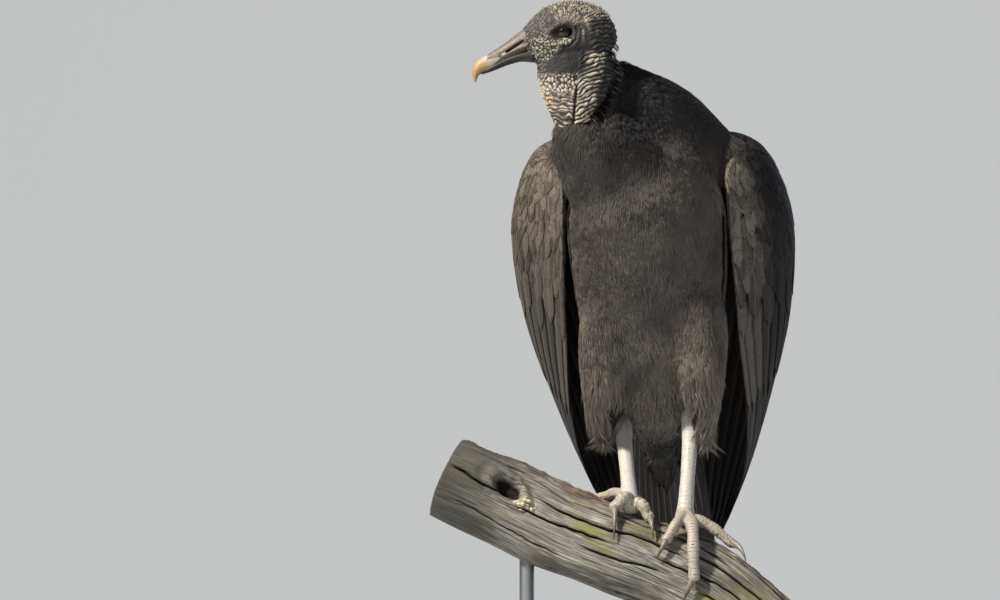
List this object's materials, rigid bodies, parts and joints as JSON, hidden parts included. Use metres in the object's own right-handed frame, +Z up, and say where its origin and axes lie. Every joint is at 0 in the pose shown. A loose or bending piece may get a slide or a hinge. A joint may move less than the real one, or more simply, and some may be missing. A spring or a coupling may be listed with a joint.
{
  "type": "black vulture on a branch perch",
  "caption": "Life-size still model of a black vulture standing on a cut length of dead branch, held by rods on a flat display base.",
  "frame": {"origin": "centre of the display base's underside", "axes": "+Z up; the bird's breast faces -Y and its left side is +X, so its head is turned towards -X"},
  "size_m": [0.3206, 0.3451, 0.5796],
  "materials": {
    "face_skin": "bare wrinkled and warty grey skin, matt",
    "eye": "very dark brown, wet gloss",
    "horn": null,
    "plumage": "short soft black-brown feathers, matt",
    "flight_feather": "long stiff black feathers, low sheen",
    "leg_skin": "whitish fine-scaled skin, matt",
    "toe_skin": "grey-brown skin with cross scutes, matt",
    "claw_horn": null,
    "dead_wood": "weathered grey barkless wood, rough",
    "stand_paint": "dark grey satin paint on a wooden base",
    "rod_steel": "plain brushed steel rod"
  },
  "bodies": {
    "root": {"head": "face_skin", "eye_left": "eye", "eye_right": "eye", "bill_upper": "horn", "bill_lower": "horn", "neck": "plumage", "trunk": "plumage", "tail": "flight_feather", "wing_left": "flight_feather", "wing_right": "flight_feather", "thigh_left": "plumage", "thigh_right": "plumage", "shank_left": "leg_skin", "shank_right": "leg_skin", "foot_left": "toe_skin", "foot_right": "toe_skin", "claw_left_middle": "claw_horn", "claw_left_inner": "claw_horn", "claw_left_outer": "claw_horn", "claw_left_hind": "claw_horn", "claw_right_middle": "claw_horn", "claw_right_inner": "claw_horn", "claw_right_outer": "claw_horn", "claw_right_hind": "claw_horn", "perch": "dead_wood", "stand_base": "stand_paint", "stand_rod_1": "rod_steel", "stand_rod_2": "rod_steel"}
  },
  "joints": []
}
